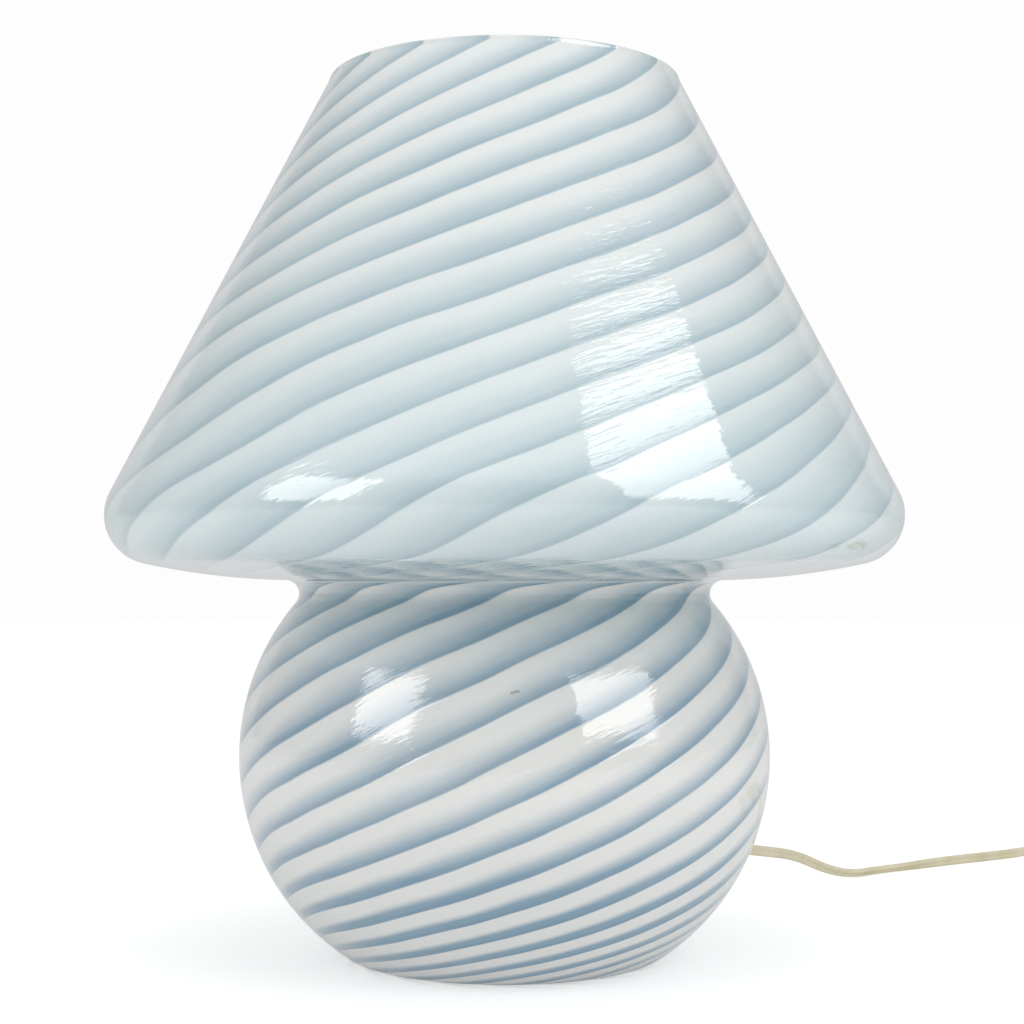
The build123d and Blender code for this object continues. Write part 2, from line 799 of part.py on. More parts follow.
for name, route in (
    ("cord_run", cord_run_route),
    ("cord_link", cord_link_route),
    ("cord_tail", cord_tail_route),
):
    with BuildPart() as stretch:
        with BuildLine() as stretch_path:
            FilletPolyline(*route, radius=corner_radii(route))
        with BuildSketch(Plane(origin=route[0], z_dir=Vector(*route[1]) - Vector(*route[0]))):
            Circle(cord_radius)
        sweep(path=stretch_path.wire())
    stretch.part.label = name
    export_step(stretch.part, f"parts/{name}.step")
    cord_length += stretch_path.wire().length
    print(name, "radii", [round(radius) for radius in corner_radii(route)])
    report_tube(name, stretch.part, stretch_path.wire().length, cord_radius)
print(f"whole cord outside the lamp {cord_length + switch_length:.0f} mm")


# ---------------------------------------------------------------------------- switch
switch_plane = Plane(origin=switch_middle)
switch_posts = [(-switch_screw_spread, 0), (switch_screw_spread, 0)]
head_recess = switch_head + switch_wall / 2
with BuildPart() as switch_base:
    with BuildSketch(switch_plane):
        RectangleRounded(switch_length, switch_width, switch_corner)
    extrude(amount=switch_split)
    fillet(switch_base.edges().group_by(Axis.Z)[0], switch_edge)
    with BuildSketch(switch_plane.offset(switch_wall)):
        RectangleRounded(
            switch_length - 2 * switch_wall,
            switch_width - 2 * switch_wall,
            switch_corner - switch_wall,
        )
    extrude(amount=switch_split, mode=Mode.SUBTRACT)
    with BuildSketch(switch_plane.offset(switch_wall / 2)):
        with Locations(*switch_posts):
            Circle(switch_post_radius)
    extrude(amount=switch_split - switch_wall / 2)
    with BuildSketch(switch_plane):
        with Locations(*switch_posts):
            Circle(switch_screw_radius + switch_screw_clearance)
    extrude(amount=switch_split, mode=Mode.SUBTRACT)
    with BuildSketch(switch_plane):
        with Locations(*switch_posts):
            Circle(switch_head_radius + switch_screw_clearance)
    extrude(amount=head_recess, mode=Mode.SUBTRACT)
switch_base.part.label = "switch_base"
export_step(switch_base.part, "parts/switch_base.step")

switch_upright = Plane(origin=switch_middle, x_dir=(1, 0, 0), z_dir=(0, -1, 0))
window_length = 2 * (rocker_radius + rocker_clearance)
window_width = rocker_width + 2 * rocker_clearance
ear_inner = window_width / 2
ear_outer = ear_inner + rocker_pin_length
with BuildPart() as switch_cover:
    with BuildSketch(switch_plane.offset(switch_split)):
        RectangleRounded(switch_length, switch_width, switch_corner)
    extrude(amount=switch_height - switch_split)
    fillet(switch_cover.edges().group_by(Axis.Z)[-1], switch_edge)
    with BuildSketch(switch_plane.offset(switch_split)):
        RectangleRounded(
            switch_length - 2 * switch_wall,
            switch_width - 2 * switch_wall,
            switch_corner - switch_wall,
        )
    extrude(amount=switch_height - switch_split - switch_wall, mode=Mode.SUBTRACT)
    with BuildSketch(switch_plane.offset(switch_split)):
        with Locations(*switch_posts):
            Circle(switch_post_radius)
    extrude(amount=switch_height - switch_split - switch_wall / 2)
    with BuildSketch(switch_plane.offset(switch_split)):
        with Locations(*switch_posts):
            Circle(switch_screw_radius + thread_clearance)
    extrude(amount=switch_height - switch_split - switch_wall, mode=Mode.SUBTRACT)
    for side in (-1, 1):
        ear_face = side * ear_inner if side > 0 else -ear_outer
        with BuildSketch(switch_upright.offset(ear_face)):
            with Locations((0, rocker_pivot_height)):
                Circle(ear_radius)
                with Locations((0, ear_radius)):
                    Rectangle(2 * ear_radius, 2 * ear_radius)
            with Locations((0, switch_height + ear_radius)):
                Rectangle(4 * ear_radius, 2 * (ear_radius + switch_wall / 2), mode=Mode.SUBTRACT)
        extrude(amount=rocker_pin_length)
    with BuildSketch(switch_upright.offset(-ear_outer)):
        with Locations((0, rocker_pivot_height)):
            Circle(rocker_pin_radius + rocker_pin_clearance)
    extrude(amount=2 * ear_outer, mode=Mode.SUBTRACT)
    with BuildSketch(switch_plane.offset(switch_height - 2 * switch_wall)):
        Rectangle(window_length, window_width)
    extrude(amount=4 * switch_wall, mode=Mode.SUBTRACT)
switch_cover.part.label = "switch_cover"
export_step(switch_cover.part, "parts/switch_cover.step")

# the rocker is drawn tipped over to its off side
with BuildPart() as switch_rocker:
    with BuildSketch(switch_upright.offset(-rocker_width / 2)):
        with Locations((0, rocker_pivot_height)):
            Circle(rocker_radius)
        with Locations(Location((0, rocker_pivot_height, 0), rocker_tilt)):
            Polygon(
                (-rocker_radius, -rocker_depth),
                (rocker_radius, -rocker_depth),
                (rocker_radius, rocker_crest + rocker_radius * tan(radians(rocker_tilt))),
                (0, rocker_crest),
                (-rocker_radius, rocker_crest + rocker_radius * tan(radians(rocker_tilt))),
                align=None,
                mode=Mode.INTERSECT,
            )
    extrude(amount=rocker_width)
    fillet(switch_rocker.edges().filter_by(Axis.Y).group_by(Axis.Z)[-1], rocker_rounding)
    with BuildSketch(switch_upright.offset(-ear_outer)):
        with Locations((0, rocker_pivot_height)):
            Circle(rocker_pin_radius)
    extrude(amount=2 * ear_outer)
switch_rocker.part.label = "switch_rocker"
export_step(switch_rocker.part, "parts/switch_rocker.step")

switch_screw_top = switch_height - switch_wall - nut_gap
with BuildPart() as switch_screws:
    with BuildSketch(switch_plane.offset(head_recess - switch_head)):
        with Locations(*switch_posts):
            Circle(switch_head_radius)
    extrude(amount=switch_head)
    with BuildSketch(switch_plane.offset(head_recess)):
        with Locations(*switch_posts):
            Circle(switch_screw_radius)
    extrude(amount=switch_screw_top - head_recess)
    with BuildSketch(switch_plane.offset(head_recess - switch_head)):
        with Locations(*switch_posts):
            Rectangle(2 * switch_head_radius, terminal_slot)
            Rectangle(terminal_slot, 2 * switch_head_radius)
    extrude(amount=switch_head / 2, mode=Mode.SUBTRACT)
switch_screws.part.label = "switch_screws"
export_step(switch_screws.part, "parts/switch_screws.step")

with BuildPart() as switch_contacts:
    with BuildSketch(switch_plane.offset(switch_wall)):
        with Locations(
            ((switch_contact_gap + switch_contact_length) / 2, 0),
            (-(switch_contact_gap + switch_contact_length) / 2, 0),
        ):
            Rectangle(switch_contact_length, rocker_width / 2)
    extrude(amount=switch_contact_height)
    with BuildSketch(switch_plane.offset(switch_wall + shell_wall)):
        Rectangle(switch_length, rocker_width / 4)
    extrude(amount=switch_contact_height, mode=Mode.SUBTRACT)
switch_contacts.part.label = "switch_contacts"
export_step(switch_contacts.part, "parts/switch_contacts.step")


# ------------------------------------------------------------------------------ plug
# local x runs from the cord towards the pins
plug_plane = Plane(origin=plug_tail, x_dir=(0, -1, 0), z_dir=(0, 0, 1))
plug_axis_origin = plug_tail + Vector(0, 0, plug_axis_height)
plug_face = Plane(origin=plug_axis_origin, x_dir=(1, 0, 0), z_dir=(0, -1, 0))
pin_places = [(-pin_spacing / 2, 0), (pin_spacing / 2, 0)]
with BuildPart() as plug_body:
    with BuildSketch(plug_plane):
        with BuildLine():
            Polyline(
                (0, -plug_tail_width / 2),
                (plug_length - plug_shoulder, -plug_width / 2),
                (plug_length, -plug_width / 2),
                (plug_length, plug_width / 2),
                (plug_length - plug_shoulder, plug_width / 2),
                (0, plug_tail_width / 2),
                close=True,
            )
        make_face()
    extrude(amount=plug_height)
    fillet(plug_body.edges(), plug_rounding)
    with BuildSketch(plug_face.offset(-boot_length)):
        Circle(boot_tip_radius)
    with BuildSketch(plug_face.offset(plug_rounding)):
        Circle(boot_root_radius)
    loft()
    with BuildSketch(plug_face.offset(plug_length - pin_root)):
        with Locations(*pin_places):
            Circle(pin_neck_radius + thread_clearance)
    extrude(amount=pin_root, mode=Mode.SUBTRACT)
plug_body.part.label = "plug_body"
export_step(plug_body.part, "parts/plug_body.step")

with BuildPart() as plug_pins:
    with BuildSketch(plug_face.offset(plug_length - pin_root)):
        with Locations(*pin_places):
            Circle(pin_neck_radius)
    extrude(amount=pin_root + sleeve_length)
    with BuildSketch(plug_face.offset(plug_length + sleeve_length)):
        with Locations(*pin_places):
            Circle(pin_radius)
    extrude(amount=pin_length - sleeve_length)
    fillet(plug_pins.edges().group_by(Axis.Y)[0], pin_radius / 2)
plug_pins.part.label = "plug_pins"
export_step(plug_pins.part, "parts/plug_pins.step")

with BuildPart() as pin_sleeves:
    with BuildSketch(plug_face.offset(plug_length)):
        with Locations(*pin_places):
            Circle(pin_radius - thread_clearance)
            Circle(pin_neck_radius + thread_clearance, mode=Mode.SUBTRACT)
    extrude(amount=sleeve_length)
pin_sleeves.part.label = "pin_sleeves"
export_step(pin_sleeves.part, "parts/pin_sleeves.step")
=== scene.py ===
from math import acos, atan, atan2, cos, degrees, pi, radians, sin, sqrt

import bpy
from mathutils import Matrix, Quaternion, Vector


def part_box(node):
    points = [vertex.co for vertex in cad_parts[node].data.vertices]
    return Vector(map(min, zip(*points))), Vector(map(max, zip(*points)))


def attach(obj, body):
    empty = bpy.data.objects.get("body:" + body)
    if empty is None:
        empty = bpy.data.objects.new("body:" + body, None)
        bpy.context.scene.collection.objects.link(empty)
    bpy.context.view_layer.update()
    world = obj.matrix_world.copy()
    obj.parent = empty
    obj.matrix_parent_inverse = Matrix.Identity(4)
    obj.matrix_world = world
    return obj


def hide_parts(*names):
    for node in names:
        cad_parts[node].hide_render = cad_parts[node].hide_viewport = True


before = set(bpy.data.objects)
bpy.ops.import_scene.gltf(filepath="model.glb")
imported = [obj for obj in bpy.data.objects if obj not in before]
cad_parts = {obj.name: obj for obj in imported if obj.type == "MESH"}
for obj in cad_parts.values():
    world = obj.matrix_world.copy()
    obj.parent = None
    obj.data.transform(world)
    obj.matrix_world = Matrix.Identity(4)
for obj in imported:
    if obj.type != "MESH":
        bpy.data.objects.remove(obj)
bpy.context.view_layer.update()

# Mushroom table lamp, in metres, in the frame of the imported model. Angles that say
# "across" are degrees to the right of the photograph's camera, seen from the lamp.
MM = 0.001

# ------------------------------------------------------------------ driving dimensions
# camera
CAMERA_DISTANCE = 0.872
CAMERA_HEIGHT = 0.172
CAMERA_AZIMUTH = -45.0  # of the camera seen from the lamp, from +X towards +Y
IMAGE_SIZE = 1024
FOCAL_PIXELS = 1895.0
HORIZON_ROW = 580.0
LAMP_COLUMN = 504.5
SENSOR = 36.0

# glass body, millimetres until it is built; corners are before rounding
HEIGHT = 400.0
RIM_RADIUS = 79.5
WALL = 3.5
SKIRT_CORNER = (190.5, 186.6)
SKIRT_ROUNDING = 21.9
UNDERSIDE_ARC = 325.0
NECK_CORNER = (85.7, 172.0)
NECK_ROUNDING = 6.1
GLOBE_SIDE = (121.0, 92.0)
FOOT_CORNER = (70.0, 0.0)
FOOT_ROUNDING = 14.0
ENTRY_HEIGHT = 52.0
ENTRY_HOLE = 5.4

# glass mesh: steps along each stretch of the outline, from the foot up, and around
BASE_STEPS = 10
FOOT_STEPS = 14
GLOBE_STEPS = 120
NECK_STEPS = 14
UNDERSIDE_STEPS = 44
SKIRT_STEPS = 26
CONE_STEPS = 110
RIM_STEPS = 10
RINGS_AROUND = 288

# swirl: stripes cross the glass at a nearly steady angle; rates are degrees of twist
# for each radius travelled along the outline, and they ease off as the stripes rise
STRIPES = 18
GLOBE_RATE = 134.0
GLOBE_EASING = 35.0
GLOBE_MIDDLE = 92.0
CONE_RATE = 136.0
CONE_EASING = 49.0
CONE_MIDDLE = 300.0
SKIRT_RATE = 150.0  # round the skirt's corner
SKIRT_TOP = 215.0
SKIRT_INNER = (150.0, 176.0)  # radii between which the underside's rate turns into it
UNDERSIDE_RATE = 111.5
NECK_RATE = 260.0  # more, where the stripes bunch up in the crease of the neck
SWIRL_START = 3.5  # degrees across at which a stripe leaves the foot
CROWDING = 0.45  # stripes stand closer on one side, at the skirt and fading above it
CROWDING_FADE = (215.0, 380.0)
CROWDING_SIDE = 70.0  # degrees across that the closest place has moved to, high up
CROWDING_MOVES = (190.0, 285.0)

# heights between which the look of the bands changes
FOOT_BANDS = (30.0, 80.0)
GLOBE_BANDS = (92.0, 165.0)
NECK_BANDS = (140.0, 166.0)
CONE_BANDS = (190.0, 330.0)

# the seed in the glass, in metres: its middle, and the step to either end
SEED = (0.0843, -0.0784, 0.1272)
SEED_STEP = (0.0008, 0.0008, 0.0004)

# twin flex
CORD_WIDTH = 5.6
STRAND_RADIUS = 1.42
GROOVE_HALF = 0.8
LOBE_POINTS = 9
EDGE_LEAN = 90.0  # degrees from flat
TABLE_LEAN = 48.0  # on the table, between these shares of the stretch to the switch
LEAN_EASES = (0.18, 0.36)
LEAN_RETURNS = (0.48, 0.62)

# screw thread of the bulb and its shell
THREAD_PITCH = 3.62
THREAD_DEPTH = 0.9
THREAD_EASE = 1.5  # over which it rises at either end
SECTION_STEP = 0.45
CAP_WALL = 0.4
CAP_SLANT = 2.5
SHELL_WALL = 0.5
SHELL_LIP = 2.5

# lights, in metres
LIGHT_DISTANCE = 1.7
LIGHT_AIM = (0.0, 0.0, 0.15)


# ---------------------------------------------------------------------------- helpers
def srgb(red, green, blue):
    """A screen colour in 0 to 255 steps, as linear light."""
    linear = []
    for step in (red, green, blue):
        value = step / 255
        linear.append(value / 12.92 if value <= 0.04045 else ((value + 0.055) / 1.055) ** 2.4)
    return (*linear, 1.0)


def step_between(value, low, high):
    """0 below low, 1 above high and a smooth step between them."""
    share = min(max((value - low) / (high - low), 0), 1)
    return share * share * (3 - 2 * share)


def mesh_object(name, vertices, faces):
    """A new smooth-shaded mesh object in the scene."""
    mesh = bpy.data.meshes.new(name)
    mesh.from_pydata(vertices, [], faces)
    mesh.validate()
    for polygon in mesh.polygons:
        polygon.use_smooth = True
    made = bpy.data.objects.new(name, mesh)
    bpy.context.collection.objects.link(made)
    return made


def add_values(piece, name, values):
    """One number for each vertex, which a material can read."""
    attribute = piece.data.attributes.new(name, "FLOAT", "POINT")
    attribute.data.foreach_set("value", values)


def paint(piece, material):
    """Gives a piece its only material."""
    piece.data.materials.clear()
    piece.data.materials.append(material)


def dress(piece, body, material):
    """Material and CAD body of a new piece."""
    paint(piece, material)
    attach(piece, body)


# -------------------------------------------------------------------------- materials
class Nodes:
    """A material's node tree with short calls for what the materials here share."""

    def __init__(self, name):
        self.material = bpy.data.materials.new(name)
        self.material.use_nodes = True
        self.tree = self.material.node_tree
        self.shader = self.tree.nodes["Principled BSDF"]
        self.place = self.add("ShaderNodeTexCoord").outputs["Object"]

    def add(self, kind, **settings):
        node = self.tree.nodes.new(kind)
        for key, value in settings.items():
            setattr(node, key, value)
        return node

    def join(self, source, socket):
        """Links a socket to another, or sets a plain value on it."""
        if isinstance(source, bpy.types.NodeSocket):
            self.tree.links.new(source, socket)
        else:
            socket.default_value = source

    def math(self, operation, first, second=0.0, clamp=False):
        node = self.add("ShaderNodeMath", operation=operation, use_clamp=clamp)
        self.join(first, node.inputs[0])
        self.join(second, node.inputs[1])
        return node.outputs[0]

    def noise(self, scale, detail=2.0, stretch=(1, 1, 1)):
        """Noise from 0 to 1; scale is features in a metre."""
        mapping = self.add("ShaderNodeMapping")
        mapping.inputs["Scale"].default_value = stretch
        self.join(self.place, mapping.inputs["Vector"])
        node = self.add("ShaderNodeTexNoise")
        node.inputs["Scale"].default_value = scale
        node.inputs["Detail"].default_value = detail
        self.join(mapping.outputs[0], node.inputs["Vector"])
        return node.outputs["Fac"]

    def between(self, value, low, high, start=0.0, end=1.0, smooth=False):
        """value from low to high, carried over to start to end and held there."""
        node = self.add("ShaderNodeMapRange")
        node.interpolation_type = "SMOOTHSTEP" if smooth else "LINEAR"
        self.join(value, node.inputs["Value"])
        for name, setting in zip(("From Min", "From Max", "To Min", "To Max"), (low, high, start, end)):
            self.join(setting, node.inputs[name])
        return node.outputs["Result"]

    def mix(self, amount, first, second):
        node = self.add("ShaderNodeMix", data_type="RGBA")
        self.join(amount, node.inputs["Factor"])
        self.join(first, node.inputs[6])
        self.join(second, node.inputs[7])
        return node.outputs[2]

    def bump(self, height, distance):
        """Raises the surface and its coat by height times distance, in metres."""
        node = self.add("ShaderNodeBump")
        node.inputs["Distance"].default_value = distance
        node.inputs["Strength"].default_value = 1.0
        self.join(height, node.inputs["Height"])
        for normal in ("Normal", "Coat Normal"):
            self.join(node.outputs[0], self.shader.inputs[normal])

    def set(self, **values):
        """Plain values or links for the shader's own sockets."""
        for name, value in values.items():
            self.join(value, self.shader.inputs[name.replace("_", " ")])
        return self.material


def moulded(name, light, dark, roughness, grain, speckle=0.05):
    """Plastic, rubber or glaze: slow colour drift, fine speckle and a moulded grain."""
    n = Nodes(name)
    drift = n.between(n.noise(60), 0.35, 0.65)
    colour = n.mix(drift, light, dark)
    fine = n.between(n.noise(1800, 3), 0.45, 0.75, 0.0, speckle)
    colour = n.mix(fine, colour, dark)
    gloss = n.between(n.noise(250, 4), 0.3, 0.7, roughness * 0.8, roughness * 1.2)
    n.bump(n.noise(2600, 3), grain)
    return n.set(Base_Color=colour, Roughness=gloss)


def metal(name, light, dark, roughness, stretch=(1, 1, 1)):
    """Plated or plain metal with drawn lines, smudges and a little tarnish."""
    n = Nodes(name)
    lines = n.noise(900, 3, stretch)
    smudge = n.between(n.noise(90, 3), 0.35, 0.7)
    colour = n.mix(smudge, light, dark)
    gloss = n.between(lines, 0.3, 0.7, roughness * 0.7, roughness * 1.3)
    n.bump(lines, 0.00003)
    return n.set(Base_Color=colour, Roughness=gloss, Metallic=1.0)


def clear_glass(name):
    """Thin clear glass with faint draw marks."""
    n = Nodes(name)
    tone = n.mix(n.noise(120), srgb(236, 242, 242), srgb(222, 230, 230))
    n.bump(n.noise(300, 2, (1, 1, 0.2)), 0.00005)
    return n.set(Base_Color=tone, Roughness=0.02, Transmission_Weight=1.0, IOR=1.5)


def swirl_glass():
    """Opal glass with blue bands: each is darkest at its lower edge and fades upward."""
    n = Nodes("swirl_glass")
    axes = n.add("ShaderNodeSeparateXYZ")
    n.join(n.place, axes.inputs[0])
    turn = n.math("ARCTAN2", axes.outputs["Y"], axes.outputs["X"])
    around = n.math("MULTIPLY", turn, STRIPES / (2 * pi))

    def value_of(name):
        return n.add("ShaderNodeAttribute", attribute_name=name).outputs["Fac"]

    # where a stripe runs: its swirl, a slow wander and a fine one
    wobble = n.between(n.noise(7, 2), 0.3, 0.7, -0.10, 0.10)
    ripple = n.between(n.noise(32, 2), 0.3, 0.7, -0.012, 0.012)
    shift = n.math("ADD", n.math("ADD", value_of("shift"), wobble), ripple)
    phase = n.math("FRACT", n.math("SUBTRACT", shift, around))

    # the band: a crisp lower edge, a dark line and a long fade
    width_noise = n.between(n.noise(11, 2), 0.3, 0.7, 0.82, 1.18)
    width = n.math("MULTIPLY", value_of("width"), width_noise)
    fade = n.between(n.math("DIVIDE", phase, width), value_of("hold"), 1.0, 1.0, 0.0, smooth=True)
    edge = n.between(phase, 0.93, 1.0, 0.0, 1.0, smooth=True)
    band = n.math("MAXIMUM", fade, edge)
    line = n.math("MAXIMUM", n.between(phase, 0.0, 0.2, 1.0, 0.0), n.between(phase, 0.965, 1.0))

    def along_bands(along, across, detail=3.0):
        """Noise drawn out along the bands; both numbers are features in a spacing."""
        band_place = n.add("ShaderNodeCombineXYZ")
        n.join(n.math("MULTIPLY", shift, along), band_place.inputs[0])
        n.join(n.math("MULTIPLY", phase, across), band_place.inputs[1])
        node = n.add("ShaderNodeTexNoise")
        node.inputs["Scale"].default_value = 1.0
        node.inputs["Detail"].default_value = detail
        n.join(band_place.outputs[0], node.inputs["Vector"])
        return node.outputs["Fac"]

    streak = n.between(along_bands(1.5, 5.0), 0.3, 0.7, 0.93, 1.05)

    patches = n.between(n.noise(16, 2), 0.3, 0.7, 0.85, 1.1)
    strength = n.math("MULTIPLY", value_of("strength"), patches)
    amount = n.math("MULTIPLY", n.math("MULTIPLY", band, strength), streak, clamp=True)
    deep = n.math("MULTIPLY", n.math("MULTIPLY", line, strength), 0.5, clamp=True)

    # the tint cools the white and turns the blue towards teal; the inner face is paler opal white:
    # partly the real opal lining, partly painted light standing in for light that comes through the
    # glass
    white = n.mix(value_of("tint"), srgb(240, 240, 237), srgb(226, 238, 240))
    white = n.mix(value_of("inner"), white, srgb(249, 250, 249))
    teal = n.math("MULTIPLY", value_of("tint"), 1.7, clamp=True)
    blue = n.mix(teal, srgb(122, 159, 184), srgb(150, 186, 195))
    colour = n.mix(amount, white, blue)
    colour = n.mix(deep, colour, srgb(92, 131, 158))

    # one grey seed, drawn out in the glass at the front of the globe
    reach = n.between(n.noise(900), 0.3, 0.7, 0.0003, 0.0009)
    seed = 0.0
    for step in (-1, 0, 1):
        apart = n.add("ShaderNodeVectorMath", operation="DISTANCE")
        n.join(n.place, apart.inputs[0])
        apart.inputs[1].default_value = [at + step * move for at, move in zip(SEED, SEED_STEP)]
        seed = n.math("MAXIMUM", seed, n.math("LESS_THAN", apart.outputs["Value"], reach))
    colour = n.mix(n.math("MULTIPLY", seed, 0.6), colour, srgb(126, 124, 120))

    # hand-drawn surface: a step at each band, fine ribs at its edge, waves along it
    ribs = n.math("MULTIPLY", along_bands(0.7, 16.0), n.math("MULTIPLY", line, 0.6))
    waves = n.math("MULTIPLY", along_bands(4.0, 7.0), 0.7)
    dents = n.math("MULTIPLY", n.noise(120, 2), 0.3)
    relief = n.math("ADD", n.math("MULTIPLY", band, -0.8), dents)
    relief = n.math("ADD", relief, n.math("ADD", ribs, waves))
    n.bump(relief, 0.00022)
    gloss = n.between(n.noise(35, 3), 0.35, 0.7, 0.03, 0.06)
    return n.set(
        Base_Color=colour,
        Roughness=gloss,
        IOR=1.6,
        Coat_Weight=1.0,
        Coat_Roughness=0.02,
        Coat_IOR=1.75,
    )


GLASS = swirl_glass()
RUBBER = moulded("black_rubber", srgb(34, 34, 35), srgb(22, 22, 23), 0.7, 0.00004)
STEEL = metal("zinc_steel", srgb(196, 198, 196), srgb(168, 172, 174), 0.32, (1, 0.08, 1))
SATIN_BRASS = metal("lamp_brass", srgb(214, 178, 106), srgb(184, 146, 80), 0.28, (1, 1, 0.1))
CONTACT_BRASS = metal("contact_brass", srgb(222, 190, 116), srgb(190, 152, 86), 0.24, (0.1, 1, 1))
PORCELAIN = moulded("porcelain", srgb(243, 241, 234), srgb(232, 229, 220), 0.12, 0.00001, 0.12)
FLEX = moulded("ivory_cord", srgb(231, 223, 194), srgb(219, 209, 177), 0.4, 0.00002, 0.1)
IVORY = moulded("ivory_plastic", srgb(226, 219, 196), srgb(221, 214, 190), 0.3, 0.00002)
STRAP = moulded("tie_plastic", srgb(236, 233, 224), srgb(222, 218, 206), 0.5, 0.00003)
OPAL = moulded("bulb_opal", srgb(246, 246, 243), srgb(240, 240, 236), 0.18, 0.00001, 0.03)
NICKEL = metal("bulb_metal", srgb(206, 206, 204), srgb(178, 178, 178), 0.22, (1, 1, 0.1))
CLEAR = clear_glass("bulb_clear")
WIRE = metal("filament_wire", srgb(120, 118, 114), srgb(92, 90, 88), 0.4)
CORE_BLUE = moulded("core_blue", srgb(66, 116, 168), srgb(56, 102, 152), 0.4, 0.00001)
CORE_BROWN = moulded("core_brown", srgb(122, 82, 56), srgb(106, 70, 48), 0.4, 0.00001)
INSULATOR = moulded("black_insulator", srgb(30, 30, 32), srgb(20, 20, 22), 0.22, 0.00001)

NODE_MATERIALS = {
    RUBBER: ("outer_washer", "inner_washer", "bracket_pad"),
    STEEL: ("entry_nipple", "locknuts", "bracket", "holder_nipple", "terminal_screws", "switch_screws"),
    SATIN_BRASS: ("collar_nut",),
    CONTACT_BRASS: ("centre_contact", "terminals", "switch_contacts"),
    FLEX: ("inner_flex",),
    CORE_BLUE: ("neutral_core",),
    CORE_BROWN: ("live_core",),
    PORCELAIN: ("holder_body",),
    IVORY: ("strain_relief", "switch_base", "switch_cover", "switch_rocker", "plug_body"),
    STRAP: ("coil_tie",),
    OPAL: ("bulb_glass",),
    NICKEL: ("bulb_tip", "plug_pins"),
    CLEAR: ("bulb_stem",),
    WIRE: ("bulb_filament",),
    INSULATOR: ("bulb_insulator", "pin_sleeves"),
}
for material, node_names in NODE_MATERIALS.items():
    for node_name in node_names:
        paint(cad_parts[node_name], material)


# ------------------------------------------------------------------------- glass shell
def plane_vector(angle):
    """Unit vector (radius, height) at an angle above the outward direction."""
    return Vector((cos(angle), sin(angle)))


def angle_of(vector):
    return atan2(vector.y, vector.x)


def circle_through(first, second, third):
    """Centre and radius of the circle through three points of the outline."""
    a, b, c = (Vector(point) for point in (first, second, third))
    d = 2 * (a.x * (b.y - c.y) + b.x * (c.y - a.y) + c.x * (a.y - b.y))
    aa, bb, cc = a.length_squared, b.length_squared, c.length_squared
    x = (aa * (b.y - c.y) + bb * (c.y - a.y) + cc * (a.y - b.y)) / d
    y = (aa * (c.x - b.x) + bb * (a.x - c.x) + cc * (b.x - a.x)) / d
    centre = Vector((x, y))
    return centre, (a - centre).length


def circles_meet(first, first_radius, second, second_radius, near):
    """The point where two circles of the outline's plane meet, nearer to a given point."""
    apart = second - first
    along = (apart.length_squared + first_radius**2 - second_radius**2) / (2 * apart.length)
    aside = sqrt(first_radius**2 - along**2)
    unit = apart.normalized()
    normal = Vector((-unit.y, unit.x))
    places = [first + unit * along + normal * aside * side for side in (-1, 1)]
    return min(places, key=lambda place: (place - Vector(near)).length)


GLOBE_CENTRE, GLOBE_RADIUS = circle_through(FOOT_CORNER, GLOBE_SIDE, NECK_CORNER)
ENTRY_SINE = (GLOBE_CENTRE.y - ENTRY_HEIGHT) / GLOBE_RADIUS
ENTRY_COSINE = sqrt(1 - ENTRY_SINE**2)
OUTWARD = Vector((0, ENTRY_COSINE, -ENTRY_SINE))  # the cord leaves square to the glass
ENTRY_POINT = Vector((0, GLOBE_CENTRE.x + GLOBE_RADIUS * ENTRY_COSINE, ENTRY_HEIGHT))


def arc_samples(centre, radius, start, end, steps, bulge=1):
    """Points and outward normals along an arc; bulge is -1 where the glass is hollowed."""
    samples = []
    for step in range(1, steps + 1):
        ray = plane_vector(start + (end - start) * step / steps)
        samples.append((centre + ray * radius, ray * bulge))
    return samples


